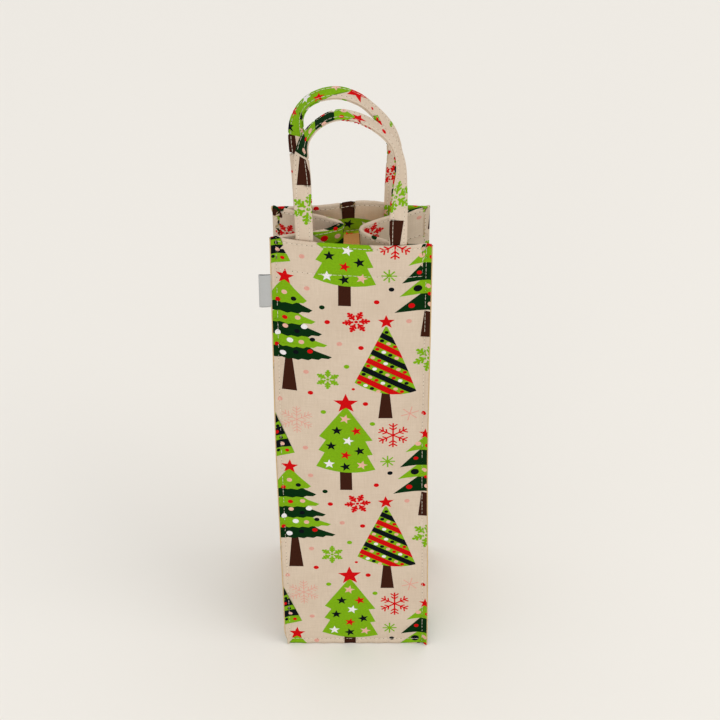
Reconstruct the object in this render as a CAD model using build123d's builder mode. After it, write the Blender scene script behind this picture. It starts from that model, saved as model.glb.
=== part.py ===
from build123d import *

import os
from math import acos, asin, cos, sin, tan

# Wine gift bag: a tall gusseted bag of printed cotton canvas with two strap handles.
#
# The bag stands on the floor at z = 0, with its origin in the middle of the base. Its front faces -Y.
# The base is open and square, and the front and back walls lean towards each other, so the mouth is half closed.
# Each side gusset is one strip of cloth that folds inwards along two creases. They run from the two lower corners
# and meet in the middle of the rim, which leaves three flat triangles and stretches no cloth.

# Driving dimensions, in millimetres
bag_width = 100.0  # over the pinched corner seams
seam_inset = 4.0  # from a pinched edge to its row of stitches
wall_length = 340.0  # base seam to rim, measured up the cloth
mouth_half_depth = 18.0  # wall to the middle plane, at the rim
canvas = 0.8  # thickness of one layer of canvas
hem_depth = 26.0  # turned-in top hem
hem_row = 23.0  # lower row of hem stitches, below the rim
rim_row = 2.5  # upper row of hem stitches, below the rim
base_row = 4.2  # row of stitches above the base seam
strap_width = 11.0
strap_thickness = 2.2
strap_end_thickness = 1.2  # pressed flat where it is sewn to the hem
strap_end_length = 22.0
strap_spacing = 57.0  # between the centres of a handle's two legs
handle_height = 92.0  # rim to the top of the arch
leg_length = 30.0  # rim to where the strap starts to twist
handle_gap = 2.0  # the swinging part of a handle starts this far above the rim
label_length = 24.0
label_reach = 8.0  # how far the label stands out of the corner seam
label_top = 27.5  # below the rim
label_thickness = 0.6
label_end_thickness = 0.3  # the part of the label inside the seam
label_sewn_past = 1.0  # the sewn-in part reaches this far past the row of stitches
label_end_lift = 0.1  # the sewn-in part lies this far outside the middle of the seam
thread_width = 0.5
thread_height = 0.3
thread_inset = 1.0  # a row of stitches stops this far before the end of its cloth
strap_row = 1.5  # from the open edge of a strap to its row of stitches
hem_clearance = 6.0  # the turned-in hem stops this far inside each corner seam
twist_steps = 4  # flat sections that turn a leg a quarter into the arch
layer_gap = 0.3  # between neighbouring pieces
crease_start = 12.0  # below this height the creases are too close to the corners to have their own edges

# Sizes that follow
seam_half_width = bag_width / 2 - seam_inset
seam_half_depth = seam_half_width  # the base is square between its seams
lean = asin((seam_half_depth - mouth_half_depth) / wall_length)
gusset_lean = acos((1 - seam_half_depth / wall_length * sin(lean)) / cos(lean))
gusset_half_depth = seam_half_depth - canvas  # its pinched edges lie inside the walls
facing_face = layer_gap - canvas  # inner side of the turned-in hem, from its wall's plane
facing_width = 2 * (seam_half_width - hem_clearance)
strap_middle = facing_face - strap_end_thickness / 2  # middle of a strap, from its wall's plane
leg_half_spacing = strap_spacing / 2
arch_centre = wall_length + handle_height - leg_half_spacing - strap_thickness / 2
label_edge = bag_width / 2 + layer_gap  # where the free part of the label starts
label_end = seam_half_width + label_sewn_past  # where its sewn-in part starts
label_end_face = label_end_lift - label_end_thickness / 2


def wall_plane(side):
    """A wall's own plane: x across it, y up the cloth and z outwards, through the base seam. side is -1 or 1."""
    return Plane(
        origin=(0, side * seam_half_depth, 0),
        x_dir=(-side, 0, 0),
        z_dir=(0, side * cos(lean), sin(lean)),
    )


def save(part, name):
    """Labels a finished piece and writes it to its own file."""
    part.label = name
    export_step(part, f"parts/{name}.step")


def base_panel():
    with BuildPart() as panel:
        with BuildSketch():
            Rectangle(2 * seam_half_width, 2 * seam_half_depth)
        extrude(amount=canvas)
    return panel.part


def wall_panel(wall):
    """One wall, with its top edge turned inwards as a hem, so that the cloth is double below the rim."""
    with BuildPart() as panel:
        with BuildSketch(wall.offset(layer_gap)):
            with Locations((0, wall_length / 2 + layer_gap)):
                Rectangle(bag_width, wall_length - 2 * layer_gap)
        extrude(amount=canvas)
        with BuildSketch(wall.offset(facing_face)):
            with Locations((0, wall_length - hem_depth / 2 - layer_gap)):
                Rectangle(facing_width, hem_depth)
        extrude(amount=canvas)
    return panel.part


def handle_ends(wall):
    """The two ends of a handle, sewn flat to the inside of the hem."""
    with BuildPart() as ends:
        with BuildSketch(wall.offset(strap_middle - strap_end_thickness / 2)):
            with Locations((0, wall_length - strap_end_length / 2)):
                with GridLocations(strap_spacing, 1, 2, 1):
                    Rectangle(strap_width, strap_end_length)
        extrude(amount=strap_end_thickness)
    return ends.part


def thread_row(wall, height):
    """A row of stitches straight across a wall."""
    with BuildPart() as row:
        with BuildSketch(wall.offset(layer_gap + canvas)):
            with Locations((0, height)):
                Rectangle(2 * seam_half_width - 2 * thread_width, thread_width)
        extrude(amount=thread_height)
    return row.part


def corner_threads(wall):
    """The rows of stitches that pinch the two corner seams."""
    with BuildPart() as rows:
        with BuildSketch(wall.offset(layer_gap + canvas)):
            with Locations((0, wall_length / 2 + layer_gap)):
                with GridLocations(2 * seam_half_width, 1, 2, 1):
                    Rectangle(thread_width, wall_length - 2 * thread_inset)
        extrude(amount=thread_height)
    return rows.part


def handle(wall):
    """The free loop of a handle: two flat legs that each turn a quarter, and an arch between them."""
    leg_start = wall_length + handle_gap
    leg_end = wall_length + leg_length
    middle = wall.offset(strap_middle)
    with BuildPart() as loop:
        with BuildSketch(wall.offset(strap_middle - strap_thickness / 2)):
            with Locations((0, (leg_start + leg_end) / 2)):
                with GridLocations(strap_spacing, 1, 2, 1):
                    Rectangle(strap_width, leg_end - leg_start)
        extrude(amount=strap_thickness)
        for leg in (-1, 1):
            across = Plane(
                origin=middle.from_local_coords((leg * leg_half_spacing, 0, 0)),
                x_dir=middle.x_dir,
                z_dir=middle.y_dir,
            )
            for step in range(twist_steps + 1):
                height = leg_end + (arch_centre - leg_end) * step / twist_steps
                with BuildSketch(across.offset(height)):
                    Rectangle(strap_width, strap_thickness, rotation=leg * 90 * step / twist_steps)
            loft(ruled=True)
        with BuildSketch(middle):
            with Locations((0, arch_centre)):
                Circle(leg_half_spacing + strap_thickness / 2)
                Circle(leg_half_spacing - strap_thickness / 2, mode=Mode.SUBTRACT)
            with Locations((0, arch_centre - leg_half_spacing)):
                Rectangle(4 * leg_half_spacing, 2 * leg_half_spacing, mode=Mode.SUBTRACT)
        extrude(amount=strap_width / 2, both=True)
    return loop.part


def handle_threads(wall):
    """The row of stitches down the open edge of each leg."""
    length = leg_length - handle_gap - 2 * thread_inset
    with BuildPart() as rows:
        with BuildSketch(wall.offset(strap_middle + strap_thickness / 2)):
            with Locations((0, wall_length + handle_gap + thread_inset + length / 2)):
                with GridLocations(strap_spacing + strap_width - 2 * strap_row, 1, 2, 1):
                    Rectangle(thread_width, length)
        extrude(amount=thread_height)
    return rows.part


def label_piece(start, width, face, thickness):
    """One stretch of the label, from start outwards across the front left corner seam."""
    with BuildPart() as piece:
        with BuildSketch(wall_plane(-1).offset(face)):
            with Locations((-start - width / 2, wall_length - label_top - label_length / 2)):
                Rectangle(width, label_length)
        extrude(amount=thickness)
    return piece.part


def gusset_outline(left_right, height):
    """The closed outline of a gusset's cloth at a height, as points half a canvas either side of its middle line.

    From each pinched edge the middle line runs to the corner seam, then to the crease, and then to the other
    crease. A crease climbs from its lower corner to the middle of the rim.
    """
    climbed = min(max(height, crease_start) / (wall_length * cos(gusset_lean)), 1)
    crease_x = seam_half_width - climbed * wall_length * sin(gusset_lean)
    crease_y = max(gusset_half_depth * (1 - climbed), canvas)
    flange_y = gusset_half_depth - height * tan(lean)
    edge_x = bag_width / 2
    front = [(edge_x, -flange_y), (seam_half_width, -flange_y), (crease_x, -crease_y)]
    middle = front + [(x, -y) for x, y in reversed(front)]
    ways = [(Vector(*b) - Vector(*a)).normalized() for a, b in zip(middle, middle[1:])]
    outer, inner = [], []
    for point, way_in, way_out in zip(middle, ways[:1] + ways, ways + ways[-1:]):
        across = Vector(way_in.Y + way_out.Y, -way_in.X - way_out.X).normalized()
        reach = canvas / 2 / across.dot(Vector(way_in.Y, -way_in.X))
        outer.append(Vector(*point) + across * reach)
        inner.append(Vector(*point) - across * reach)
    return [(left_right * point.X, point.Y) for point in outer + inner[::-1]]


def gusset(left_right):
    """A side gusset, from just above the base to the rim. left_right is -1 or 1."""
    foot = canvas + layer_gap
    apex = wall_length * cos(gusset_lean) * (1 - canvas / gusset_half_depth)
    rim = wall_length * cos(lean) - layer_gap
    with BuildPart() as cloth:
        for low, high in ((foot, crease_start), (crease_start, apex), (apex, rim)):
            for height in (low, high):
                with BuildSketch(Plane.XY.offset(height)):
                    with BuildLine():
                        Polyline(*gusset_outline(left_right, height), close=True)
                    make_face()
            loft(ruled=True)
    return cloth.part


def main():
    os.makedirs("parts", exist_ok=True)
    save(base_panel(), "base_panel")
    save(gusset(-1), "left_gusset")
    save(gusset(1), "right_gusset")
    for side, name in ((-1, "front"), (1, "back")):
        wall = wall_plane(side)
        save(wall_panel(wall), f"{name}_panel")
        save(handle_ends(wall), f"{name}_handle_ends")
        save(handle(wall), f"{name}_handle")
        save(handle_threads(wall), f"{name}_handle_threads")
        save(thread_row(wall, wall_length - rim_row), f"{name}_rim_thread")
        save(thread_row(wall, wall_length - hem_row), f"{name}_hem_thread")
        save(thread_row(wall, base_row), f"{name}_base_thread")
        save(corner_threads(wall), f"{name}_corner_threads")
    save(
        label_piece(label_end, bag_width / 2 - label_end, label_end_face, label_end_thickness),
        "side_label_end",
    )
    save(
        label_piece(label_edge, label_reach, layer_gap - label_thickness, label_thickness),
        "side_label",
    )
    pivot = wall_plane(-1).from_local_coords((0, wall_length + handle_gap, strap_middle))
    seam = wall_plane(-1).from_local_coords((-bag_width / 2, wall_length - label_top, 0))
    print("front handle pivot", pivot, "label seam", seam, "way up the seam", wall_plane(-1).y_dir)


main()
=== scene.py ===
# %% [markdown]
# # A printed canvas gift bag for one bottle
# The real bag is seven pieces of cotton canvas, a few metres of sewing thread and a scrap of woven tape.
# Its whole character is in the cloth: stiff, printed on one side, folded, and pinched along its seams. So
# this lesson cuts each piece flat, prints on it, and only then bends it into place, which is the order the
# real one is made in.

# %% Load the frame
import bmesh
import bpy
from math import acos, asin, ceil, cos, exp, floor, hypot, pi, radians, sin
from mathutils import Matrix, Vector
from mathutils.geometry import delaunay_2d_cdt


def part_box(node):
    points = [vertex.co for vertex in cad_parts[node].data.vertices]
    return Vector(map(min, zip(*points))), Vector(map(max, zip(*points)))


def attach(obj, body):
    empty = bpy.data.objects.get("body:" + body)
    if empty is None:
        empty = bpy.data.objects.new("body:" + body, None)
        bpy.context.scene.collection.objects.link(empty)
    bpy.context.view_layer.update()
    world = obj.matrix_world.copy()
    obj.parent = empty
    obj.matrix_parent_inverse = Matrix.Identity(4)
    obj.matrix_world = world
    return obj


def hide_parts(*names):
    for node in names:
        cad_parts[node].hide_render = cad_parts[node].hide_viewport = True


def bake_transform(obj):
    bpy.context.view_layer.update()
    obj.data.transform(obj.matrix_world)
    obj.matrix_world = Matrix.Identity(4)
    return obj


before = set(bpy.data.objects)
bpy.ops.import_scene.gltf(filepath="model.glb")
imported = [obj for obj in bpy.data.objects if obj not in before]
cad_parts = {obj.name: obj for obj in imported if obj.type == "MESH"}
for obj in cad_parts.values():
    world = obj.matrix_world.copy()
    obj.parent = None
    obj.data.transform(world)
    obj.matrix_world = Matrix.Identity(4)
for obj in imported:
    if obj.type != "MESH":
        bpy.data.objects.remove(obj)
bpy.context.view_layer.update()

MM = 0.001

# %% [markdown]
# ## Camera
# The bag is looked at from well above and far away with a long lens, so its upright edges stay almost
# parallel and the mouth shows. The camera comes first, because everything after it is judged through it.

# %% Camera
LOOKS_DOWN = 42  # degrees below level
camera_data = bpy.data.cameras.new("camera")
camera = bpy.data.objects.new("camera", camera_data)
bpy.context.collection.objects.link(camera)
camera.location = (0.0055, -1.10, 1.215)
camera.rotation_euler = (radians(90 - LOOKS_DOWN), 0, 0)
camera_data.lens = 114
camera_data.clip_end = 20
bpy.context.scene.camera = camera
print("camera", tuple(round(value, 3) for value in camera.location))

# %% [markdown]
# ## Small helpers
# Colours are given as sRGB hex values, as a dyer's card would, and turned to linear here. One function adds
# a shader node with its settings and links, so that a material reads like its own recipe.

# %% Colour and node helpers
def linear(hex_value):
    """An sRGB hex value such as D8C9B4, as a linear colour."""
    parts = [int(hex_value[place:place + 2], 16) / 255 for place in (0, 2, 4)]
    return tuple(c / 12.92 if c <= 0.04045 else ((c + 0.055) / 1.055) ** 2.4 for c in parts) + (1.0,)


def add_node(material, kind, links=None, stops=(), **settings):
    """Adds a node. links maps an input to an output. stops are the (place, colour) pairs of a colour ramp.

    settings are the node's properties, or its inputs by index, as in_0.
    """
    node = material.node_tree.nodes.new(kind)
    for name, value in settings.items():
        if name.startswith("in_"):
            node.inputs[int(name[3:])].default_value = value
        else:
            setattr(node, name, value)
    for number, (place, colour) in enumerate(stops):
        node.color_ramp.elements[number].position = place
        node.color_ramp.elements[number].color = colour
    for name, output in (links or {}).items():
        material.node_tree.links.new(output, node.inputs[name])
    return node


def new_material(name):
    material = bpy.data.materials.new(name)
    material.use_nodes = True
    return material, material.node_tree.nodes["Principled BSDF"]


# %% [markdown]
# ## The cloth's own numbers
# All the sizes below are the bag's, in millimetres. The width comes from the frame, as the front wall's own
# box. The rest is what a pattern cutter would note. The walls' lean follows from how far they come together
# at the rim, and the gussets' lean from the walls' lean, because the cloth doesn't stretch.

# %% Sizes of the bag
front_low, front_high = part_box("front_panel")
bag_width = (front_high.x - front_low.x) / MM
seam_inset = 4.0  # from a pinched edge to its row of stitches
seam_half = bag_width / 2 - seam_inset
wall_length = 340.0  # base seam to rim, up the cloth
mouth_half = 18.0  # wall to the middle of the mouth
lean = asin((seam_half - mouth_half) / wall_length)
gusset_lean = acos((1 - seam_half / wall_length * sin(lean)) / cos(lean))
canvas = 0.8  # thickness
hem_depth = 25.0
hem_rows = (2.5, 23.0)  # rows of stitches below the rim
base_row = 4.2  # row of stitches above the base seam
print("bag width", round(bag_width, 1), "wall lean", round(lean, 4), "gusset lean", round(gusset_lean, 4))

# %% [markdown]
# ## The print, drawn flat
# The cloth is screen printed: flat areas of a few strong inks, with clean edges. Every motif is a plain
# outline in millimetres, so the drawing below is a set of small functions that return (ink, outline) pairs
# in the order in which the screens would lay them down. Later pairs cover earlier ones. Nothing here knows
# about three dimensions.

# %% Inks
INKS = {
    "lime": "7CAE13",
    "green": "042C0B",
    "red": "CE080D",
    "black": "080E13",
    "brown": "3C1C10",
    "pink": "E6B39F",
    "blush": "DDA293",
    "white": "EEEBEC",
}
print("inks", ", ".join(INKS))


# %% Simple outlines
def dot(x, y, radius, squash=0.9):
    return [(x + radius * cos(a), y + radius * squash * sin(a)) for a in (2 * pi * k / 14 for k in range(14))]


def star(x, y, radius, turn=0.0, waist=0.42):
    outline = []
    for k in range(10):
        reach = radius if k % 2 == 0 else radius * waist
        angle = pi / 2 + turn + k * pi / 5
        outline.append((x + reach * cos(angle), y + reach * sin(angle)))
    return outline


def stroke(start, end, width, end_width=None):
    """A straight stroke of the given width, from start to end."""
    end_width = width if end_width is None else end_width
    dx, dy = end[0] - start[0], end[1] - start[1]
    length = hypot(dx, dy)
    nx, ny = -dy / length / 2, dx / length / 2
    return [
        (start[0] + nx * width, start[1] + ny * width),
        (start[0] - nx * width, start[1] - ny * width),
        (end[0] - nx * end_width, end[1] - ny * end_width),
        (end[0] + nx * end_width, end[1] + ny * end_width),
    ]


def bow(start, end, sag, steps=6):
    """Points from start to just before end, on an arc that hangs below the straight line by sag."""
    points = []
    for k in range(steps):
        t = k / steps
        x = start[0] + (end[0] - start[0]) * t
        y = start[1] + (end[1] - start[1]) * t - 4 * sag * t * (1 - t)
        points.append((x, y))
    return points


def keep_side(outline, point, normal):
    """The part of a convex outline on the side of point that normal looks towards."""
    kept = []
    for a, b in zip(outline, outline[1:] + outline[:1]):
        side_a = (a[0] - point[0]) * normal[0] + (a[1] - point[1]) * normal[1]
        side_b = (b[0] - point[0]) * normal[0] + (b[1] - point[1]) * normal[1]
        if side_a >= 0:
            kept.append(a)
        if side_a * side_b < 0:
            t = side_a / (side_a - side_b)
            kept.append((a[0] + (b[0] - a[0]) * t, a[1] + (b[1] - a[1]) * t))
    return kept


# %% Trees
def trunk(x, top, foot, top_width, foot_width):
    return ("brown", stroke((x, top), (x, foot), top_width, foot_width))


def star_tree(x, y):
    """A lime tree of three tiers, hung with small stars. x, y is the middle of the star at its top."""
    tiers = [(0, -2), (17.3, -31), (12.6, -31.6), (17.3, -43.2), (13.6, -43.8)]
    other_side = [(-14.2, -41.6), (-18.2, -39.6), (-13.2, -31), (-17.6, -28)]
    outline = tiers + bow((19.0, -56.2), (-19.9, -53.4), 3.6) + [(-19.9, -53.4)] + other_side
    shapes = [trunk(x - 0.5, y - 56, y - 73.6, 7.8, 8.0), ("lime", [(x + a, y + b) for a, b in outline])]
    hung = [
        ("pink", -0.6, -13), ("black", -5.9, -23), ("red", 6.6, -23), ("white", 1.3, -31.5),
        ("black", -9.8, -36), ("black", 8.7, -40), ("red", -0.4, -43.6), ("white", -11.3, -51.3),
        ("black", -0.6, -53.5), ("pink", 10.1, -52),
    ]
    for turn, (ink, a, b) in enumerate(hung):
        shapes.append((ink, star(x + a, y + b, 3.9, 0.25 * (turn % 3 - 1))))
    return shapes + [("red", star(x, y, 8.3, 0.02))]


def striped_tree(x, y):
    """A lime cone wound with slanting black and red ribbons, and rows of small dots between them."""
    right_side = [(0.6, -2.6), (9.6, -25), (14.8, -40), (19.6, -55.2)]
    outline = [(-0.6, -2.6)] + bow((-19.9, -48.2), (19.6, -55.2), 5.0, 8) + right_side[::-1]
    shapes = [trunk(x, y - 55, y - 77.4, 4.9, 9.2), ("lime", [(x + a, y + b) for a, b in outline])]
    slant = radians(-30)
    along, down = (cos(slant), sin(slant)), (sin(slant), -cos(slant))
    pitch, ribbon, first = 7.3, 4.1, 5.4
    for k in range(6):
        near = first + pitch * k
        band = keep_side(outline, (down[0] * near, down[1] * near - 2.6), down)
        far = near + ribbon
        band = keep_side(band, (down[0] * far, down[1] * far - 2.6), (-down[0], -down[1]))
        shapes.append(("red" if k % 2 else "black", [(x + a, y + b) for a, b in band]))
    beads = ["white", "red", "pink", "black"]
    count = 0
    for k in range(6):
        row = first + pitch * k + ribbon + (pitch - ribbon) / 2
        middle = (down[0] * row, down[1] * row - 2.6)
        thin = keep_side(outline, (middle[0] - down[0] * 0.1, middle[1] - down[1] * 0.1), down)
        thin = keep_side(thin, (middle[0] + down[0] * 0.1, middle[1] + down[1] * 0.1), (-down[0], -down[1]))
        if len(thin) < 3:
            continue
        places = [(a - middle[0]) * along[0] + (b - middle[1]) * along[1] for a, b in thin]
        place = min(places) + 2.6
        while place < max(places) - 1.6:
            count += 1
            at = (x + middle[0] + along[0] * place, y + middle[1] + along[1] * place)
            shapes.append((beads[(count * 3 + k) % 4], dot(*at, 1.45, 0.85)))
            place += 4.7
    shapes.append(("black", dot(x + 0.2, y - 7.2, 1.35)))
    return shapes + [("red", star(x, y + 1, 5.6, 0.03))]


def fir_tree(x, y):
    """Six ragged skirts, lime and dark green in turn, with round ornaments."""
    skirts = [
        ("green", -59.2, 28.8, -50.2, 13.0), ("lime", -49.8, 26.0, -41.7, 11.0),
        ("green", -41.2, 22.8, -33.2, 9.5), ("lime", -31.9, 18.8, -25.2, 7.0),
        ("green", -23.4, 17.0, -16.2, 6.0), ("lime", -16.5, 13.6, -1.5, 0.6),
    ]
    shapes = [trunk(x + 1.4, y - 61, y - 88, 4.4, 9.8)]
    for ink, tip_y, tip_x, top_y, top_x in skirts:
        hem = []
        count = max(3, int(tip_x / 3.2))
        for k in range(count):
            t0, t1 = k / count, (k + 1) / count
            start = (tip_x * (1 - 2 * t0), tip_y - 11 * t0 * (1 - t0))
            end = (tip_x * (1 - 2 * t1), tip_y - 11 * t1 * (1 - t1))
            hem += [start, ((start[0] * 2 + end[0]) / 3, start[1] * 0.5 + end[1] * 0.5 - 1.0)]
        hem.append((-tip_x, tip_y))
        side = [(-(top_x + tip_x) * 0.42, (tip_y + top_y * 1.2) / 2.2), (-top_x, top_y)]
        outline = hem + side + [(-a, b) for a, b in side[::-1]]
        shapes.append((ink, [(x + a, y + b) for a, b in outline]))
    hung = [
        ("pink", -0.5, -11.7), ("red", -4.8, -18.0), ("black", 5.2, -15.8), ("red", -0.5, -30.6),
        ("pink", 7.6, -29.7), ("pink", -0.3, -37.1), ("white", 11.6, -36.1), ("black", 7.0, -40.1),
        ("white", -5.4, -43.2), ("white", 2.4, -47.7), ("pink", 9.6, -48.3), ("black", 16.6, -45.8),
        ("red", -6.2, -52.0), ("white", -2.2, -58.5), ("black", 6.0, -56.7), ("red", 15.0, -55.2),
        ("white", -14.0, -48), ("pink", -13.0, -57.6), ("red", -11.6, -37.4),
    ]
    for ink, a, b in hung:
        shapes.append((ink, dot(x + a, y + b, 2.1 if ink == "white" else 1.8)))
    return shapes + [("red", star(x, y, 6.0, -0.05))]


def garland_tree(x, y):
    """A tall lime cone with black garlands, and ornaments on and between them."""
    cone = [(0, -2.2)] + bow((-20.4, -55.6), (20.4, -55), 3.4, 8) + [(20.4, -55)]
    shapes = [trunk(x, y - 56, y - 74, 5, 9), ("lime", [(x + a, y + b) for a, b in cone])]
    for k in range(5):
        top, foot = -33.6 + 10 * (k - 1), -39.6 + 10 * (k - 1)
        upper, lower = 0.386 * (-top - 2.2), 0.386 * (-foot - 2.2)
        if upper < 1:
            continue
        band = bow((-lower, foot), (lower, foot), 2.0) + [(lower, foot)]
        band += bow((upper, top), (-upper, top), 2.0) + [(-upper, top)]
        shapes.append(("black", [(x + a, y + b) for a, b in band]))
        for bead in range(-2, 3):
            a = bead * 6.2 + 2.4 * (k % 2)
            if abs(a) < upper:
                shapes.append((("white", "red", "pink")[bead % 3], dot(x + a, y + foot + 1.6, 1.5)))
            if abs(a + 3) < lower:
                shapes.append((("pink", "black", "red")[bead % 3], dot(x + a + 3, y + foot - 3.6, 1.4)))
    return shapes + [("red", star(x, y, 5.6, 0.05))]


def tier_tree(x, y):
    """Four plain triangular tiers, lime and dark green in turn."""
    tiers = [
        ("green", -51.5, 21.5, -33), ("lime", -38.9, 18.4, -22), ("green", -28.7, 17.0, -10),
        ("lime", -15.6, 13.3, -2),
    ]
    shapes = [trunk(x, y - 51, y - 71, 5.4, 10)]
    for ink, foot, half, top in tiers:
        hem = bow((-half, foot), (half, foot + 0.4), -1.6) + [(half, foot + 0.4)]
        outline = [(0.4, top), (-0.4, top)] + hem
        shapes.append((ink, [(x + a, y + b) for a, b in outline]))
    hung = [
        ("pink", -5.0, -8.6, 2.0), ("red", 1.6, -9.8, 1.6), ("red", -6.4, -21.2, 1.6),
        ("pink", 4.0, -20.6, 1.9), ("black", -7.1, -33, 2.8), ("pink", -0.3, -31.5, 1.9),
        ("red", 0.8, -37.2, 1.5), ("red", 8.4, -32, 2.5), ("red", -10.8, -46, 2.1),
        ("pink", 1.4, -45.2, 1.9), ("black", 10.6, -46.8, 2.0),
    ]
    return shapes + [(ink, dot(x + a, y + b, r)) for ink, a, b, r in hung] + [("red", star(x, y, 4.9, -0.03))]


# %% Snowflakes
def flake(ink, x, y, radius, thick, barbs, turn=0.0, tips=False, arms=6):
    """A snowflake of straight strokes. barbs lists (place along the arm, length), as shares of the radius."""
    shapes = []
    for arm in range(arms):
        angle = turn + arm * 2 * pi / arms
        out = (cos(angle), sin(angle))
        start = 0.0 if not tips else radius * 0.22
        end = (x + out[0] * radius, y + out[1] * radius)
        shapes.append((ink, stroke((x + out[0] * start, y + out[1] * start), end, thick)))
        for place, length in barbs:
            root = (x + out[0] * radius * place, y + out[1] * radius * place)
            for side in (-1, 1):
                lean_out = angle + side * radians(52)
                tip = (root[0] + cos(lean_out) * radius * length, root[1] + sin(lean_out) * radius * length)
                shapes.append((ink, stroke(root, tip, thick * 0.95)))
        if tips:
            shapes.append((ink, dot(*end, thick * 0.72)))
    if tips:
        shapes.append((ink, dot(x, y, thick * 0.8)))
    return shapes


# %% [markdown]
# ## The repeat
# Printed cloth repeats. One repeat holds five different trees, with snowflakes and dots in the gaps, and
# every strip of the bag is cut from it at a different place. The origin of the repeat is where the middle
# of the front wall's base seam falls on it.

# %% One repeat of the print
REPEAT_X, REPEAT_Y = 142.0, 151.6
BOLD = ((0.42, 0.34), (0.68, 0.3))
FINE = ((0.3, 0.3), (0.52, 0.34), (0.74, 0.28))


def whole_repeat():
    motifs = [star_tree(-3.6, 215.8), striped_tree(21.9, 281.5), fir_tree(-41, 312.7)]
    motifs += [garland_tree(84.4, 227.9), tier_tree(48.3, 341.3)]
    motifs += [
        flake("red", 3.1, 281.7, 7.8, 1.5, BOLD, 0.12, True),
        flake("lime", -15.0, 235.4, 7.0, 1.4, BOLD, 0.5, True),
        flake("lime", 49.6, 253.2, 10.0, 1.7, BOLD, 0.35, True),
        flake("red", 26.9, 189.4, 10.4, 1.05, ((0.45, 0.3), (0.7, 0.34)), 0.52, False),
        flake("blush", -35.3, 200.8, 11.0, 0.55, FINE, 0.52, False),
        flake("blush", 70.5, 250, 8.4, 0.55, FINE, 0.1, False),
        flake("red", 73.5, 133.5, 6.6, 1.4, BOLD, 0.3, True),
        flake("lime", 23.4, 318.2, 4.9, 1.0, (), 0.0, False, 8),
        flake("blush", 37.6, 207.7, 6.0, 0.7, (), 0.3, False, 6),
        flake("red", 88, 246, 4.4, 0.9, (), 0.2, False, 8),
        flake("lime", 60, 199, 4.8, 1.0, (), 0.1, False, 8),
    ]
    dots = {
        "red": [
            (-15.0, 281), (6.1, 261.4), (-26.2, 223.8), (9.0, 216), (46.8, 207.3), (15.8, 297.8), (60, 238),
            (57, 174),
        ],
        "black": [(24.9, 308)],
        "green": [(-18.2, 292.1), (74, 236)],
        "lime": [(-3.0, 246.2), (-18.1, 208.2), (13.5, 199.2), (64, 218), (58, 264)],
        "blush": [
            (-30.2, 329.2), (-27.4, 305.7), (-7.5, 264.2), (-28.8, 240.8), (-46, 216.5), (36, 283.2),
            (56, 227), (54, 185),
        ],
    }
    shapes = [shape for motif in motifs for shape in motif]
    for ink, places in dots.items():
        shapes += [(ink, dot(x, y, 1.8)) for x, y in places]
    shapes.append(("red", dot(1.2, 228, 1.1)))
    return [shape for shape in shapes if len(shape[1]) > 2]


REPEAT = whole_repeat()
print("outlines in one repeat", len(REPEAT))

# %% [markdown]
# ## Cutting and printing a strip
# The hard part is getting crisp ink edges without an image. A shader could test every outline at every
# sample, but that is slow and is lost outside Blender. Instead the outlines are cut into the cloth itself,
# with the geometry library's constrained triangulation, which also takes the regular grid that lets the
# cloth bend. Each triangle then knows the topmost outline that covers it, and stores that ink in a colour
# attribute. Its alpha says how much ink lies there, so bare cloth stays bare in the material.

# %% Cut a printed strip
def shapes_on(cut_to_print, low, high, quarter_turn):
    """The motif outlines that touch a cut rectangle, in the cut's own coordinates."""
    def from_print(x, y):
        x, y = x - cut_to_print[0], y - cut_to_print[1]
        return (y, -x) if quarter_turn else (x, y)

    corners = [(low[0], low[1]), (high[0], high[1]), (low[0], high[1]), (high[0], low[1])]
    on_print = [(-v, u) if quarter_turn else (u, v) for u, v in corners]
    on_print = [(x + cut_to_print[0], y + cut_to_print[1]) for x, y in on_print]
    x0, x1 = min(x for x, _ in on_print), max(x for x, _ in on_print)
    y0, y1 = min(y for _, y in on_print), max(y for _, y in on_print)
    found = []
    for ink, outline in REPEAT:
        left, right = min(x for x, _ in outline), max(x for x, _ in outline)
        bottom, top = min(y for _, y in outline), max(y for _, y in outline)
        for column in range(ceil((x0 - right) / REPEAT_X), floor((x1 - left) / REPEAT_X) + 1):
            for row in range(ceil((y0 - top) / REPEAT_Y), floor((y1 - bottom) / REPEAT_Y) + 1):
                moved = [from_print(x + column * REPEAT_X, y + row * REPEAT_Y) for x, y in outline]
                found.append((ink, anticlockwise(moved)))
    return found


def anticlockwise(outline):
    """The outline, turned to run anticlockwise, which tells the triangulation which side is its inside."""
    area = sum(a[0] * b[1] - b[0] * a[1] for a, b in zip(outline, outline[1:] + outline[:1]))
    return outline if area > 0 else outline[::-1]


def span(start, end, step):
    """Even places from start to end, about step apart."""
    count = max(1, round((end - start) / step))
    return [start + (end - start) * k / count for k in range(count + 1)]


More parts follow.
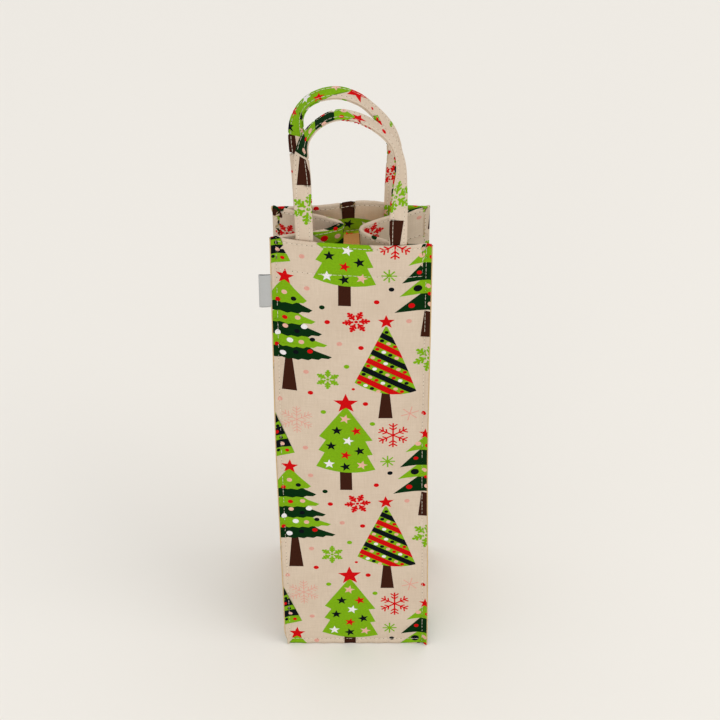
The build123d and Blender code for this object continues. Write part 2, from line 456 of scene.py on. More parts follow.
def cut_cloth(name, us, vs, bend, cut_to_print, quarter_turn=False, printed=True):
    """A strip of cloth, cut on the grid lines us and vs, printed, and bent into place.

    bend takes a place on the flat cloth in millimetres and returns its place on the bag.
    """
    low, high = (us[0], vs[0]), (us[-1], vs[-1])
    points = [Vector((u, v)) for v in vs for u in us]
    across = len(us)
    edge_loop = [0, across - 1, across * len(vs) - 1, across * (len(vs) - 1)]
    faces, inks = [edge_loop], [None]
    for ink, outline in (shapes_on(cut_to_print, low, high, quarter_turn) if printed else []):
        faces.append(list(range(len(points), len(points) + len(outline))))
        points += [Vector(point) for point in outline]
        inks.append(ink)
    places, _, triangles, _, _, covers = delaunay_2d_cdt(points, [], faces, 0, 1e-4, True)
    kept = [(face, max(cover)) for face, cover in zip(triangles, covers) if 0 in cover]
    mesh = bpy.data.meshes.new(name)
    bent = [Vector(bend(place.x, place.y)) * MM for place in places]
    mesh.from_pydata(bent, [], [face for face, _ in kept])
    ink_layer = mesh.color_attributes.new("print", "FLOAT_COLOR", "CORNER")
    flat_layer = mesh.uv_layers.new(name="cloth")
    bare = (0.0, 0.0, 0.0, 0.0)
    for polygon, (face, cover) in zip(mesh.polygons, kept):
        colour = linear(INKS[inks[cover]]) if inks[cover] else bare
        for corner in polygon.loop_indices:
            ink_layer.data[corner].color = colour
            place = places[mesh.loops[corner].vertex_index]
            flat_layer.data[corner].uv = (place.x, place.y)
        polygon.use_smooth = True
    loose = bmesh.new()
    loose.from_mesh(mesh)
    bmesh.ops.delete(loose, geom=[vert for vert in loose.verts if not vert.link_faces], context="VERTS")
    loose.to_mesh(mesh)
    loose.free()
    piece = bpy.data.objects.new(name, mesh)
    bpy.context.collection.objects.link(piece)
    print(name, "triangles", len(kept))
    return piece


# %% [markdown]
# ## Materials
# Four finishes make the bag. The printed face is cotton canvas under screen ink: matt, with a plain weave
# whose threads show as a fine grid, with painted shade in the gaps between them, uneven slubs, and a few
# dark flecks of husk. The ink is thin, so the weave shows through it. The reverse is the same canvas
# without ink, a little more tan. The thread is spun cotton, and the label is woven polyester, which is
# smoother and cooler. The weave follows the flat cloth, so it bends with it.

# %% Canvas
THREAD_PITCH = 0.78  # millimetres from thread to thread, a little coarse so that it shows
WHITE, SLUB_SHADE = (1, 1, 1, 1), (0.93, 0.92, 0.9, 1)


def weave_height(material, flat):
    """A plain weave: warp and weft ridges, with a checker saying which of them is on top."""
    ridge = 0.1571 / (THREAD_PITCH / 2)  # a sine wave's own scale for one ridge a thread
    over = add_node(material, "ShaderNodeTexChecker", {"Vector": flat}, in_3=1 / THREAD_PITCH)
    mix = add_node(material, "ShaderNodeMix", {"Factor": over.outputs["Fac"]}, data_type="FLOAT")
    for place, way in ((2, "X"), (3, "Y")):
        ridges = {"bands_direction": way, "in_1": ridge, "in_2": 0.35, "in_3": 1.0}
        threads = add_node(material, "ShaderNodeTexWave", {"Vector": flat}, **ridges)
        material.node_tree.links.new(threads.outputs["Fac"], mix.inputs[place])
    return mix.outputs[0]


def stain(material, flat, colour, scale, detail, *stops):
    """A colour multiplied by stretched noise. scale is how many patches fit in a millimetre, each way."""
    stretch = add_node(material, "ShaderNodeMapping", {"Vector": flat}, in_3=(*scale, 1.0))
    noise = add_node(
        material, "ShaderNodeTexNoise", {"Vector": stretch.outputs[0]}, in_2=1.0, in_3=detail, in_4=0.6
    )
    shade = add_node(material, "ShaderNodeValToRGB", {"Fac": noise.outputs[0]}, stops)
    both = {6: colour, 7: shade.outputs[0]}
    mix = add_node(material, "ShaderNodeMix", both, data_type="RGBA", blend_type="MULTIPLY", in_0=1.0)
    return mix.outputs[2]


def make_canvas(name, cloth_hex, printed):
    material, shader = new_material(name)
    flat = add_node(material, "ShaderNodeUVMap", uv_map="cloth").outputs[0]
    colour = add_node(material, "ShaderNodeRGB").outputs[0]
    colour.default_value = linear(cloth_hex)
    # Slubs are thick stretches of thread, about 0.8 mm wide and 11 mm long, up the cloth and across it.
    colour = stain(material, flat, colour, (1.3, 0.09), 3.0, (0.3, SLUB_SHADE), (0.7, WHITE))
    colour = stain(material, flat, colour, (0.09, 1.3), 3.0, (0.3, SLUB_SHADE), (0.7, WHITE))
    # Clouds are the uneven tone of unbleached cotton, about 33 mm wide, and flecks are specks of husk.
    colour = stain(material, flat, colour, (0.03, 0.03), 2.0, (0.35, (0.95, 0.94, 0.93, 1)), (0.65, WHITE))
    colour = stain(material, flat, colour, (0.9, 0.9), 2.0, (0.73, WHITE), (0.77, (0.55, 0.45, 0.33, 1)))
    if printed:
        ink = add_node(material, "ShaderNodeAttribute", attribute_name="print")
        wear = (0.3, (0.84, 0.84, 0.84, 1)), (0.62, WHITE)
        worn = stain(material, flat, ink.outputs["Color"], (0.8, 0.8), 3.0, *wear)
        layers = {"Factor": ink.outputs["Alpha"], 6: colour, 7: worn}
        colour = add_node(material, "ShaderNodeMix", layers, data_type="RGBA").outputs[2]
    weave = weave_height(material, flat)
    # The gaps between threads are darkened: painted shade in the hollows of the weave.
    gap_shade = (0.1, (0.80, 0.78, 0.75, 1)), (0.8, WHITE)
    tone = add_node(material, "ShaderNodeValToRGB", {"Fac": weave}, gap_shade)
    both = {6: colour, 7: tone.outputs[0]}
    toned = add_node(material, "ShaderNodeMix", both, data_type="RGBA", blend_type="MULTIPLY", in_0=0.6)
    material.node_tree.links.new(toned.outputs[2], shader.inputs["Base Color"])
    shader.inputs["Roughness"].default_value = 0.92
    shader.inputs["Specular IOR Level"].default_value = 0.06
    bump = add_node(material, "ShaderNodeBump", {"Height": weave}, in_0=0.45, in_1=0.00012)
    material.node_tree.links.new(bump.outputs[0], shader.inputs["Normal"])
    return material


printed_canvas = make_canvas("screen_printed_cotton_canvas", "DAC9B6", True)
plain_canvas = make_canvas("unprinted_cotton_canvas", "E0C394", False)
print("canvas nodes", len(printed_canvas.node_tree.nodes))

# %% Thread, and the painted shade of needle holes
thread, thread_shader = new_material("spun_cotton_thread")
twist_place = add_node(thread, "ShaderNodeTexCoord").outputs["Object"]
twist = add_node(thread, "ShaderNodeTexNoise", {"Vector": twist_place}, in_2=1600.0)
fibres = (0.3, linear("CBBFA9")), (0.7, linear("E8DFD0"))
twist_colour = add_node(thread, "ShaderNodeValToRGB", {"Fac": twist.outputs[0]}, fibres)
thread.node_tree.links.new(twist_colour.outputs[0], thread_shader.inputs["Base Color"])
thread_shader.inputs["Roughness"].default_value = 0.7

# A needle hole looks dark only because it is in shade; this dark brown is that shade painted on a disc.
hole, hole_shade_shader = new_material("needle_hole_in_canvas")
hole_shade_shader.inputs["Base Color"].default_value = linear("6A5740")
hole_shade_shader.inputs["Roughness"].default_value = 1.0

# %% [markdown]
# ## The walls
# Each wall leans in from the base seam to the rim and bows out in the middle of the rim, because the stiff
# cloth has nothing to hold it flat there. Its top edge turns over a tight fold and comes down inside as the
# hem. Beyond the corner seams the cloth is pinched into fins. Along every row of stitches the thread pulls
# the cloth down a little, and the cloth puckers beside it. All of that is one formula for a place on the
# wall, used three times: to bend the cloth, to lay stitches on it, and to find where the gussets have to
# meet it.

# %% Wall shape
FOLD = 1.1  # radius of the fold at the rim
PRESSED = 0.9  # sewn cloth is this share of its loose thickness
OUTER = 1.0  # the printed face, outwards from the wall's plane
FOLD_START = wall_length - FOLD
FOLD_END = FOLD_START + pi * FOLD
FLOOR_GAP = 0.4  # the raw edges stand this far off the floor
OPENS_FROM = 110  # above this height a wall follows its bowed rim
BELLY = 1.3  # how far a wall swells halfway up
ROW_PULL, ROW_WIDTH = 0.3, 0.9  # how deep and wide a dent a row of stitches pulls
PUCKER_WIDTH = 4.0  # how far from a row of stitches the cloth puckers
RIM_BOW = {-1: 4.0, 1: 4.9}  # how far the middle of each rim bows out
# How far each upper corner has moved outwards, by wall and by side of the bag.
CORNER_SHIFT = {(-1, -1): -3.2, (-1, 1): 4.2, (1, -1): -2.6, (1, 1): -2.4}
FIN_SWING = 0.3  # share of a curled fin's swing that the seam lets it keep
FOOT_SHIFT = 2.7  # how far the bag has shifted sideways on its foot


def ease(start, end, value):
    t = min(max((value - start) / (end - start), 0), 1)
    return t * t * (3 - 2 * t)


def dent(distance, width):
    return exp(-(distance / width) ** 2)


def wall_offset(side, x, height):
    """How far a wall's cloth stands out of its plane at a place."""
    opened = ease(OPENS_FROM, wall_length, height)
    if side < 0:
        bowed = RIM_BOW[side] * max(1 - (x / seam_half) ** 4, 0) * opened
    else:
        bowed = RIM_BOW[side] * dent(x - 9, 21) * max(1 - (x / seam_half) ** 2, 0) ** 0.5 * opened
    right = (x / seam_half + 1) / 2
    corner = CORNER_SHIFT[side, -1] * (1 - right) + CORNER_SHIFT[side, 1] * right
    belly = BELLY * sin(pi * height / wall_length) * max(1 - (x / seam_half) ** 2, 0)
    wave = 0.35 * sin(x / 13 + 2 * side) * sin(height / 29 + side) + 0.25 * sin(height / 17 + x / 21)
    seam = abs(abs(x) - seam_half)
    pucker = 0.16 * sin(height * 0.72 + 1.7 * side) * dent(seam, PUCKER_WIDTH)
    pull = -0.4 * dent(seam, 1.0)
    for row in hem_rows:
        above = height - (wall_length - row)
        pull -= ROW_PULL * dent(above, ROW_WIDTH)
        pucker += 0.12 * sin(x * 0.8 + row) * dent(above, PUCKER_WIDTH)
    pull -= 0.35 * dent(height - base_row, ROW_WIDTH)
    pucker += 0.18 * sin(x * 0.5) * dent(height, 5.0)
    flare = 1.6 * ease(40, 0, height) * ease(seam_half, bag_width / 2, x) if side < 0 else 0
    return bowed + corner * opened + belly + wave * ease(0, 30, height) + pucker + pull + flare


def wall_place(side, x, height, offset=0.0):
    """A place on a wall. side is -1 for the front and 1 for the back. offset is outwards from its plane."""
    out = offset + wall_offset(side, x, height)
    fin = max(abs(x) - seam_half, 0)
    if fin:
        curl = 0.65 if side < 0 else 0.3 + 0.6 * ease(120, wall_length, height)
        curl += 0.6 * ease(12, 0, height) if x < 0 else 0
        out += fin * sin(curl) * FIN_SWING
        x = (seam_half + fin * cos(curl)) * (1 if x > 0 else -1)
    y = side * (seam_half - height * sin(lean) + out * cos(lean))
    z = height * cos(lean) + out * sin(lean) + FLOOR_GAP
    return Vector((x + FOOT_SHIFT * ease(200, 0, height), y, z))


def bend_wall(side):
    def bend(u, v):
        x = -side * u
        if v <= FOLD_START:
            return wall_place(side, x, v, OUTER)
        if v <= FOLD_END:
            turn = (v - FOLD_START) / FOLD
            return wall_place(side, x, FOLD_START + FOLD * sin(turn), OUTER - FOLD * (1 - cos(turn)))
        return wall_place(side, x, FOLD_START - (v - FOLD_END), OUTER - 2 * FOLD)
    return bend


def rows_up():
    """Grid lines up a strip: close together at the rows of stitches and round the fold."""
    lines = span(0, base_row - 0.8, 1.7) + [base_row] + span(base_row + 0.8, wall_length - 25, 3.2)
    for row in sorted(hem_rows, reverse=True):
        lines += [wall_length - row - 0.8, wall_length - row, wall_length - row + 0.8]
    lines += span(wall_length - 21, wall_length - 4.4, 2.8)
    lines += span(FOLD_START, FOLD_END, FOLD / 2.5) + span(FOLD_END + 1.4, FOLD_END + hem_depth, 2.8)
    return sorted(set(round(line, 4) for line in lines))


def lines_across(edge):
    """Grid lines across a strip, out to edge: close together at the corner seams."""
    near = [seam_half - 2.4, seam_half - 0.8, seam_half, seam_half + 0.8, (seam_half + edge) / 2, edge]
    middle = span(-seam_half + 4.6, seam_half - 4.6, 2.8)
    return sorted([-line for line in near] + middle + near)


def finish_cloth(piece, *nodes):
    """Gives a strip its thickness and its finishes, hangs it on the bag's body, and hides the nodes it stands
    for.
    """
    piece.data.materials.append(printed_canvas)
    piece.data.materials.append(plain_canvas)
    thickness = piece.modifiers.new("cloth thickness", "SOLIDIFY")
    thickness.thickness = canvas * PRESSED * MM
    thickness.offset = -1
    thickness.material_offset = 1
    thickness.material_offset_rim = 1
    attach(piece, "bag")
    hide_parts(*nodes)


def trim_hem(piece, limit):
    """Cuts the turned-in part of a hem back, so that it ends inside the corner seams."""
    mesh = bmesh.new()
    mesh.from_mesh(piece.data)
    flat = mesh.loops.layers.uv["cloth"]
    gone = []
    for face in mesh.faces:
        u = sum(loop[flat].uv.x for loop in face.loops) / len(face.loops)
        v = sum(loop[flat].uv.y for loop in face.loops) / len(face.loops)
        if abs(u) > limit and v > FOLD_END:
            gone.append(face)
    bmesh.ops.delete(mesh, geom=gone, context="FACES")
    mesh.to_mesh(piece.data)
    mesh.free()


for side, name in ((-1, "front"), (1, "back")):
    print(name, "rim", [round(value, 1) for value in wall_place(side, 0, wall_length)])


# %% Cut and bend the walls
CUT_AT = {
    "front": (0, 0), "back": (-5.9, 106.6), "left": (42.6, 113.5), "right": (-5.9, 102.3), "base": (20, 60),
}
for side, name in ((-1, "front"), (1, "back")):
    wall = cut_cloth(f"{name}_wall", lines_across(bag_width / 2), rows_up(), bend_wall(side), CUT_AT[name])
    trim_hem(wall, seam_half - 0.4)
    finish_cloth(wall, f"{name}_panel")

# %% [markdown]
# ## The gussets
# A gusset is the clever part of a bag. It is one flat strip, and when the walls lean in it has to fold
# without stretching. Two creases run from the lower corners to the middle of its rim and leave three flat
# triangles. The middle one tips inwards from the base, and the other two hinge on the walls. Averaging each
# place with its neighbours across the strip rounds the creases, as stiff canvas does, and rounds the deep
# fold at the rim most.

# %% Gusset shape
CREASE = {-1: 4.6, 1: 6.4}  # half the width over which a crease is rounded
BULGE = {-1: 5.0, 1: 3.5}  # how far the lower half swells outwards
BEHIND = 0.35  # at the seams, a gusset's printed face lies this far inside its wall's plane
FLANK_BOW = {-1: 0.0, 1: 5.5}  # how far the front half of a gusset bows towards the front wall
APEX_SHIFT = {-1: 0.0, 1: -4.5}  # how far the deep fold has slipped towards the front


def folded(u, v):
    """The creased strip of the right gusset, with sharp creases. It doesn't stretch anywhere."""
    apex = Vector((seam_half - wall_length * sin(gusset_lean), 0, wall_length * cos(gusset_lean)))
    edge = 1 if u > 0 else -1
    if abs(u) < seam_half * (1 - v / wall_length):
        return Vector((seam_half - v * sin(gusset_lean), u, v * cos(gusset_lean)))
    foot = Vector((seam_half, edge * seam_half, 0))
    top = Vector((seam_half, edge * mouth_half, wall_length * cos(lean)))
    return foot + (top - foot) * (v / wall_length) + (apex - top) * (1 - abs(u) / seam_half)


def gusset_place(left_right, u, v):
    """A place on a gusset's printed face. Beyond the corner seams it lies behind the fins of the walls."""
    y_side = 1 if u * left_right > 0 else -1
    if abs(u) >= seam_half:
        return wall_place(y_side, left_right * abs(u), v, -BEHIND)
    reach = min(CREASE[left_right], seam_half - abs(u)) if v > 0 else 0
    reach *= ease(0, 40, v)
    place = Vector((0, 0, 0))
    for k in range(-4, 5):
        place += folded(u + reach * k / 4, v) / 9
    place.z += FLOOR_GAP
    place = Vector((left_right * place.x, left_right * place.y, place.z))
    hung = ease(60, wall_length, v)
    place.y += APEX_SHIFT[left_right] * (1 - abs(u) / seam_half) * hung
    if y_side < 0:
        place.y -= FLANK_BOW[left_right] * sin(pi * abs(u) / seam_half) * hung ** 2
    corner = Vector((left_right * seam_half, y_side * (seam_half - v * sin(lean)), v * cos(lean) + FLOOR_GAP))
    meets = wall_place(y_side, left_right * seam_half, v, -BEHIND)
    place += (meets - corner) * max(ease(0.25, 1, abs(u) / seam_half), 0)
    place.x += FOOT_SHIFT * ease(200, 0, v) * (1 - ease(0.25, 1, abs(u) / seam_half))
    middle = max(1 - (u / seam_half) ** 2, 0)
    swell = BULGE[left_right] * ease(0, 70, v) * ease(300, 150, v)
    place.x += left_right * middle * (0.8 * sin(v / 41 + left_right) + swell)
    return place


def gusset_frame(left_right, u, v):
    """The place, the way up the cloth and the outward normal there."""
    step = 0.4
    up = gusset_place(left_right, u, v + step) - gusset_place(left_right, u, v - step)
    across = gusset_place(left_right, u + step, v) - gusset_place(left_right, u - step, v)
    return gusset_place(left_right, u, v), up.normalized(), across.cross(up).normalized()


def bend_gusset(left_right):
    def bend(u, v):
        if v <= FOLD_START:
            return gusset_place(left_right, u, v)
        if abs(u) > seam_half - 0.5:
            return gusset_place(left_right, u, min(v, wall_length - 0.5))
        if v <= FOLD_END:
            place, up, out = gusset_frame(left_right, u, FOLD_START)
            turn = (v - FOLD_START) / FOLD
            return place + up * FOLD * sin(turn) - out * FOLD * (1 - cos(turn))
        place, up, out = gusset_frame(left_right, u, FOLD_START - (v - FOLD_END))
        return place - out * 2 * FOLD
    return bend


for left_right, name in ((-1, "left"), (1, "right")):
    deepest = gusset_place(left_right, 0, wall_length)
    print(name, "gusset folds in to", [round(value, 1) for value in deepest])


# %% Cut and bend the gussets
for left_right, name in ((-1, "left"), (1, "right")):
    lines = lines_across(bag_width / 2 + 0.9)
    strip = cut_cloth(f"{name}_side_gusset", lines, rows_up(), bend_gusset(left_right), CUT_AT[name])
    trim_hem(strip, seam_half - 2.0)
    finish_cloth(strip, f"{name}_gusset")

# %% [markdown]
# ## The base
# The base is a square of the same cloth, sewn to the walls a little above their lower edges. In the middle
# it sags to the floor, and at its edges it turns down inside the pinched seam.

# %% Base
def bend_base(u, v):
    reach = max(abs(u), abs(v))
    hold = seam_half - 1.4
    rise = (base_row + FLOOR_GAP) * ease(hold - 14, hold, reach)
    x, y = max(min(u, hold), -hold), max(min(-v, hold), -hold)
    return Vector((x + FOOT_SHIFT, y, 0.1 + rise - 0.95 * max(reach - hold, 0)))


base_lines = sorted(set([round(line, 3) for line in span(-44.6, 44.6, 3.7)] + [-47.8, 47.8]))
base = cut_cloth("base_cloth", base_lines, base_lines, bend_base, CUT_AT["base"])
finish_cloth(base, "base_panel")

# %% [markdown]
# ## The handles
# Each handle is a strip of the same cloth with its edges folded in, folded again and sewn along both edges.
# It stands up flat from inside the hem, and then turns a quarter so that the arch lies comfortably in a
# hand. The strap is a closed ribbon: cut_cloth lays it out as the length round its section by the length
# along its line, so the print runs over its edges as it does on the real one. Stiff cloth doesn't turn
# evenly. The left leg turns sharply here, and the right leg slowly.

# %% Strap section and lines
STRAP_HALF = 1.1  # half its thickness, where it isn't pressed by the stitches that hold it to the bag
STRAP_PRESSED = 0.8
STRAP_SEWN = 20.0  # length inside the rim
STRAP_ROW = 3.4  # rows of stitches, from the middle of the strap
half_section = [
    (-5.35, 0.62), (-4.8, 1.0), (-3.9, 1.06), (-STRAP_ROW, 0.88), (-2.9, 1.06), (-1.5, 1.1),
    (0, STRAP_HALF), (1.5, 1.1), (2.9, 1.06), (STRAP_ROW, 0.88), (3.9, 1.06), (4.8, 1.04),
    (5.3, 0.88), (5.5, 0.56), (5.25, 0.2), (4.4, 0.0),
]
STRAP_SECTION = [(x, -h) for x, h in half_section[::-1]] + [(-5.5, 0.0)] + half_section


def lengths_round(section):
    """How far round a section each of its places is."""
    lengths = [0.0]
    for (x0, h0), (x1, h1) in zip(section, section[1:]):
        lengths.append(lengths[-1] + hypot(x1 - x0, h1 - h0))
    return lengths


section_lengths = lengths_round(STRAP_SECTION)
section_middle = section_lengths[STRAP_SECTION.index((0, STRAP_HALF))]
STRAP_US = [length - section_middle for length in section_lengths]
STRAP_ROWS = [u for u, (x, _) in zip(STRAP_US, STRAP_SECTION) if abs(x) == STRAP_ROW]

print("cloth round a strap", round(section_lengths[-1], 1), "mm")

# Places on a handle's middle line: across the wall, and above the rim.
STRAP_LINES = {
    -1: [
        (-28.5, -STRAP_SEWN), (-28.5, 0), (-28.8, 20), (-29.3, 40), (-29.2, 58), (-26.5, 72), (-18, 83),
        (-7, 88.5), (6, 86), (17, 79), (25.5, 69), (29.3, 55), (29.2, 38), (28.8, 18), (28.7, 0),
        (28.5, -STRAP_SEWN),
    ],
    1: [
        (-30.2, -STRAP_SEWN), (-30.2, 0), (-30.6, 20), (-31.5, 40), (-32.6, 58), (-32.4, 68), (-30, 78),
        (-24.5, 86), (-16, 90.4), (-6, 90.6), (5, 85), (13, 77), (19.6, 68), (24.2, 58), (26.4, 46),
        (26.6, 34), (26.2, 16), (26, 0), (26, -STRAP_SEWN),
    ],
}
# How far the strap has turned, in degrees, at distances along its line.
TURNS_BACK = [(148, 90), (161, 78), (175, 58), (189, 36), (204, 12), (218, 0)]
STRAP_TURN = {
    -1: [(0, 0), (56, 0), (70, 20), (86, 62), (98, 88)] + TURNS_BACK,
    1: [(0, 0), (62, 0), (80, 18), (92, 56), (104, 90)] + TURNS_BACK,
}
STRAP_CUT = {-1: (46.4, 59.4), 1: (0.3, 77.8)}


def smooth_line(points, steps=10):
    """Close places on a smooth curve through points, and how far along it each one is."""
    points = [Vector(point) for point in points]
    around = [points[0] * 2 - points[1]] + points + [points[-1] * 2 - points[-2]]
    line = []
    for a, b, c, d in zip(around, around[1:], around[2:], around[3:]):
        for k in range(steps):
            t = k / steps
            squared, cubed = a * 2 - b * 5 + c * 4 - d, b * 3 - a - c * 3 + d
            line.append((b * 2 + (c - a) * t + squared * t * t + cubed * t ** 3) / 2)
    line.append(points[-1])
    distances = [0.0]
    for a, b in zip(line, line[1:]):
        distances.append(distances[-1] + (b - a).length)
    return distances, line


def between(table, value):
    """A value read from a table of rising (place, value) pairs, with straight lines between them."""
    value = min(max(value, table[0][0]), table[-1][0])
    for (a, low), (b, high) in zip(table, table[1:]):
        if value <= b:
            return low + (high - low) * (value - a) / (b - a)


def bend_strap(side):
    distances, line = smooth_line(STRAP_LINES[side])
    across_at = list(zip(distances, [place.x for place in line]))
    height_at = list(zip(distances, [place.y for place in line]))
    section_x = list(zip(STRAP_US, [x for x, _ in STRAP_SECTION]))
    section_h = list(zip(STRAP_US, [h for _, h in STRAP_SECTION]))
    up = Vector((0, -side * sin(lean), cos(lean)))
    out = Vector((0, side * cos(lean), sin(lean)))
    facing = out * -side

    def bend(u, v):
        x, h = between(section_x, u), between(section_h, u)
        middle_x, middle_h = between(across_at, v), between(height_at, v)
        ahead, behind = min(v + 2, distances[-1]), max(v - 2, 0)
        way = Vector((between(across_at, ahead) - between(across_at, behind), 0, 0))
        way += up * (between(height_at, ahead) - between(height_at, behind))
        way.normalize()
        turn = radians(sum(between(STRAP_TURN[side], v + shift) for shift in (-8, -4, 0, 4, 8)) / 5)
        inward = way.cross(facing)
        normal = facing * cos(turn) - inward * sin(turn)
        width = way.cross(normal)
        height = wall_length + middle_h
        bow = wall_offset(side, middle_x, wall_length) * (1 - 0.55 * ease(0, 80, middle_h))
        h *= STRAP_PRESSED + (1 - STRAP_PRESSED) * ease(0, 25, middle_h)
        hem_face = OUTER - 2 * FOLD
        free = Vector((middle_x, side * (seam_half - height * sin(lean)), height * cos(lean) + FLOOR_GAP))
        free += out * (hem_face - STRAP_HALF * STRAP_PRESSED + bow) + width * x + normal * h
        if middle_h > 25:
            return free
        strap_face = hem_face - STRAP_HALF * STRAP_PRESSED
        sewn = wall_place(side, middle_x + width.x * x, height, strap_face - side * h)
        return sewn.lerp(free, ease(2, 25, middle_h))

    return bend, distances[-1]


def close_gaps(piece):
    """Joins the two long edges of a strap and closes its ends."""
    mesh = bmesh.new()
    mesh.from_mesh(piece.data)
    bmesh.ops.remove_doubles(mesh, verts=mesh.verts[:], dist=0.00001)
    bmesh.ops.holes_fill(mesh, edges=[edge for edge in mesh.edges if edge.is_boundary], sides=0)
    bmesh.ops.triangulate(mesh, faces=[face for face in mesh.faces if len(face.verts) > 4])
    mesh.to_mesh(piece.data)
    mesh.free()


def bend_with(piece):
    """Bakes a piece of a handle's placement into its mesh."""
    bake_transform(piece)


# %% [markdown]
# ## Stitches
# A stitch is a small cream capsule, half sunk in the cloth. Between one stitch and the next the needle hole
# is a small dark disc, which is the hole's shade painted on. They are laid along rows given on the flat
# cloth, and go through the same bend as the cloth. There are more than a thousand, so each has only a few
# faces.

# %% Sewing
def template(create, **settings):
    """The vertices and faces of one small shape."""
    mesh = bmesh.new()
    create(mesh, **settings)
    mesh.verts.ensure_lookup_table()
    corners = [vert.co.copy() for vert in mesh.verts]
    faces = [[vert.index for vert in face.verts] for face in mesh.faces]
    mesh.free()
    return corners, faces


CAPSULE = template(bmesh.ops.create_uvsphere, u_segments=6, v_segments=5, radius=1)
DISC = template(bmesh.ops.create_circle, cap_ends=True, segments=7, radius=1)
STITCH = 3.1  # millimetres from needle hole to needle hole
HOLE_SHADE_LIFT, THREAD_LIFT = 0.05, 0.04  # above the cloth


def sew(name, seams, hole_shade_size=0.34):
    """Stitches and painted needle-hole shade. seams are (bend, start, end), with the row's two ends on the
    flat cloth.
    """
    places, faces, finishes = [], [], []

    def lay(shape, matrix, finish):
        first = len(places)
        places.extend(matrix @ co for co in shape[0])
        faces.extend([first + index for index in face] for face in shape[1])
        finishes.extend([finish] * len(shape[1]))

    for bend, start, end in seams:
        length = hypot(end[0] - start[0], end[1] - start[1])
        du, dv = (end[0] - start[0]) / length, (end[1] - start[1]) / length
        count = round(length / STITCH)
        for half_step in range(2 * count):
            t = (half_step + 0.5) / (2 * count) * length
            u, v = start[0] + du * t, start[1] + dv * t
            here = Vector(bend(u, v))
            along = (Vector(bend(u + du * 0.4, v + dv * 0.4)) - here).normalized()
            aside = (Vector(bend(u - dv * 0.3, v + du * 0.3)) - here).normalized()
            out = along.cross(aside).normalized()
            aside = out.cross(along)
            # Every other half step lays a dark disc: the painted shade of a needle hole.
            if half_step % 2:
                scaled, lift, shape = (aside * hole_shade_size, along * hole_shade_size * 1.2, out), HOLE_SHADE_LIFT, DISC
            else:
                scaled, lift, shape = (aside * 0.18, out * 0.15, along * 1.44), THREAD_LIFT, CAPSULE
            centre = (here + out * lift) * MM
            rows = [[scaled[0][k] * MM, scaled[1][k] * MM, scaled[2][k] * MM, centre[k]] for k in range(3)]
            lay(shape, Matrix(rows + [[0, 0, 0, 1]]), half_step % 2)
    mesh = bpy.data.meshes.new(name)
    mesh.from_pydata(places, [], faces)
    mesh.materials.append(thread)
    mesh.materials.append(hole)
    mesh.polygons.foreach_set("material_index", finishes)
    mesh.polygons.foreach_set("use_smooth", [True] * len(faces))
    piece = bpy.data.objects.new(name, mesh)
    bpy.context.collection.objects.link(piece)
    print(name, "faces", len(faces))
    return piece


# %% Handles
for side, name in ((-1, "front"), (1, "back")):
    bend, strap_length = bend_strap(side)
    strap = cut_cloth(f"{name}_strap", STRAP_US, span(0, strap_length, 2.3), bend, STRAP_CUT[side])
    close_gaps(strap)
    strap.data.materials.append(printed_canvas)
    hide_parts(f"{name}_handle", f"{name}_handle_ends")
    bend_with(strap)
    rows = [(bend, (u, 2), (u, strap_length - 2)) for u in STRAP_ROWS]
    stitches = sew(f"{name}_strap_stitches", rows, 0.26)
    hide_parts(f"{name}_handle_threads")
    bend_with(stitches)

# %% Stitches on the bag
inside_rows = [FOLD_END + FOLD_START - (wall_length - row) for row in hem_rows]
for side, name in ((-1, "front"), (1, "back")):
    bend = bend_wall(side)
    seams = [(bend, (u, 2), (u, FOLD_START)) for u in (-seam_half, seam_half)]
    for v in [wall_length - row for row in hem_rows] + inside_rows:
        seams.append((bend, (1.5 - seam_half, v), (seam_half - 1.5, v)))
    seams.append((bend, (1.5 - seam_half, base_row), (seam_half - 1.5, base_row)))
    stitches = sew(f"{name}_wall_stitches", seams)
    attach(stitches, "bag")
    rows = ("corner_threads", "rim_thread", "hem_thread", "base_thread")
    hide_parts(*(f"{name}_{row}" for row in rows))
for left_right, name in ((-1, "left"), (1, "right")):
    bend = bend_gusset(left_right)
    seams = [(bend, (u, 4), (u, FOLD_START - 2)) for u in (-seam_half - 0.3, seam_half + 0.3)]
    for v in [wall_length - row for row in hem_rows] + inside_rows:
        seams.append((bend, (3 - seam_half, v), (seam_half - 3, v)))
    seams.append((bend, (1.5 - seam_half, base_row), (seam_half - 1.5, base_row)))
    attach(sew(f"{name}_gusset_stitches", seams), "bag")

# %% [markdown]
# ## The label
# A scrap of woven tape, folded in two and caught in the front left seam. Its layers stand a little apart at
# the fold. The dark slit at the upper end is painted shade, as the tape's inner side is near black. It is
# left blank.

# %% Label
tape, tape_shader = new_material("woven_polyester_tape")
tape_flat = add_node(tape, "ShaderNodeUVMap", uv_map="cloth").outputs[0]
ribs = add_node(
    tape, "ShaderNodeTexWave", {"Vector": tape_flat}, bands_direction="Y", in_1=0.55, in_2=0.2, in_3=1.0
)
yarns = (0.1, linear("9FA09F")), (0.9, linear("B6B7B5"))
tape_colour = add_node(tape, "ShaderNodeValToRGB", {"Fac": ribs.outputs["Fac"]}, yarns)
tape.node_tree.links.new(tape_colour.outputs[0], tape_shader.inputs["Base Color"])
tape_shader.inputs["Roughness"].default_value = 0.55
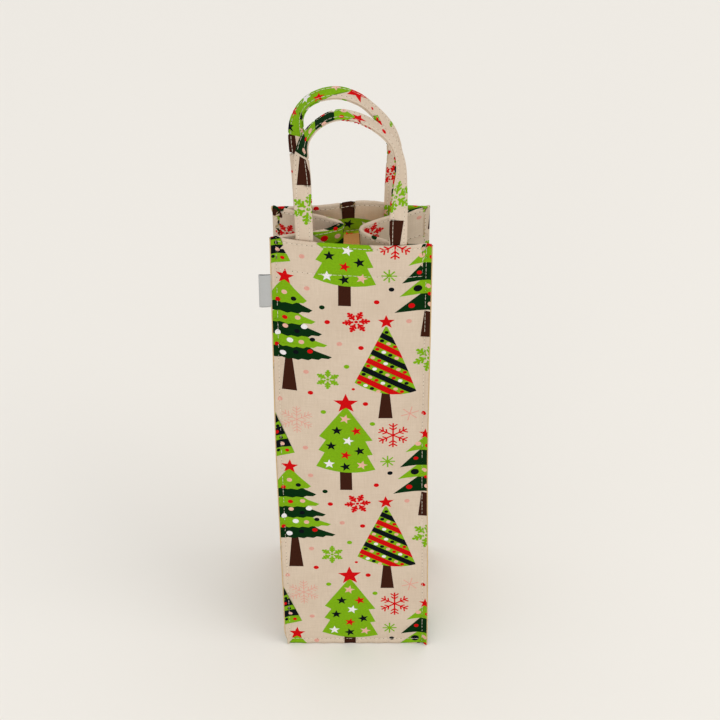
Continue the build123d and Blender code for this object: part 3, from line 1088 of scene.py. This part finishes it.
# The inner side of the folded tape is near black: painted shade for the slit between its layers.
tape_inside_shade, tape_inside_shade_shader = new_material("painted_shade_inside_folded_tape")
tape_inside_shade_shader.inputs["Base Color"].default_value = linear("2E2D2E")
tape_inside_shade_shader.inputs["Roughness"].default_value = 0.8
LABEL_TOP, LABEL_LENGTH, TAPE_THICKNESS = 27.5, 24.0, 0.16
LABEL_SECTION = [
    (-46.5, -0.15), (-50, -0.2), (-53, -0.36), (-56.4, -0.48), (-57.6, -0.4), (-58.2, 0.05), (-57.7, 0.55),
    (-56.4, 0.66), (-53, 0.56), (-50, 0.42), (-46.5, 0.4),
]
label_lengths = lengths_round(LABEL_SECTION)
label_x = list(zip(label_lengths, [x for x, _ in LABEL_SECTION]))
label_h = list(zip(label_lengths, [h for _, h in LABEL_SECTION]))


def bend_label(u, v):
    x, h = between(label_x, u), between(label_h, u)
    out = max(-bag_width / 2 - x, 0)
    height = wall_length - LABEL_TOP - LABEL_LENGTH + v - 0.16 * out
    place = wall_place(-1, max(x, -bag_width / 2), height, h)
    return place + Vector((min(x + bag_width / 2, 0), 0.02 * out * out, 0))


label_us = span(0, label_lengths[-1], 0.7)
label = cut_cloth("side_tape_label", label_us, span(0, LABEL_LENGTH, 1.6), bend_label, (0, 0), printed=False)
label.data.materials.append(tape)
label.data.materials.append(tape_inside_shade)
layer = label.modifiers.new("tape thickness", "SOLIDIFY")
layer.thickness = TAPE_THICKNESS * MM
layer.offset = -1
layer.material_offset = 1
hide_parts("side_label", "side_label_end")
seam_place = wall_place(-1, -bag_width / 2, wall_length - LABEL_TOP - LABEL_LENGTH / 2, 0) * MM
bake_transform(label)

# %% [markdown]
# ## Stage and light
# The bag stands on a pale floor under one large soft light from the upper right, with plenty of light from
# all round, so the shadows are short and open. A small warm light inside stands for the daylight that comes
# through the canvas and colours the mouth.

# %% Stage
floor_material, floor_shader = new_material("pale_matt_floor")
floor_shader.inputs["Base Color"].default_value = linear("E9E6E0")
floor_shader.inputs["Roughness"].default_value = 0.9
floor_mesh = bpy.data.meshes.new("floor")
ground = bmesh.new()
bmesh.ops.create_grid(ground, x_segments=1, y_segments=1, size=8)
ground.to_mesh(floor_mesh)
ground.free()
floor_mesh.materials.append(floor_material)
stage_floor = bpy.data.objects.new("stage_floor", floor_mesh)
bpy.context.collection.objects.link(stage_floor)

world = bpy.data.worlds.new("soft studio")
bpy.context.scene.world = world
world.use_nodes = True
world.node_tree.nodes["Background"].inputs[0].default_value = (1.0, 0.99, 0.98, 1)
world.node_tree.nodes["Background"].inputs[1].default_value = 0.925
bpy.context.scene.view_settings.view_transform = "Standard"


def soft_light(name, place, aim, size, power, colour):
    data = bpy.data.lights.new(name, "AREA")
    data.shape, data.size, data.energy, data.color = "DISK", size, power, colour
    light = bpy.data.objects.new(name, data)
    bpy.context.collection.objects.link(light)
    light.location = place
    light.rotation_euler = (Vector(aim) - Vector(place)).to_track_quat("-Z", "Y").to_euler()


soft_light("key", (2.4, -0.9, 3.4), (-0.2, 0.3, 0.1), 2.4, 27, (1, 0.985, 0.965))
soft_light("fill", (-0.5, -3.0, 1.0), (0, 0, 0.1), 2.4, 18, (1, 0.995, 0.99))
soft_light("light through the cloth", (0, 0, 0.2), (0, 0.02, 0.34), 0.03, 0.09, (1, 0.78, 0.5))
print("lights", [light.name for light in bpy.data.lights])
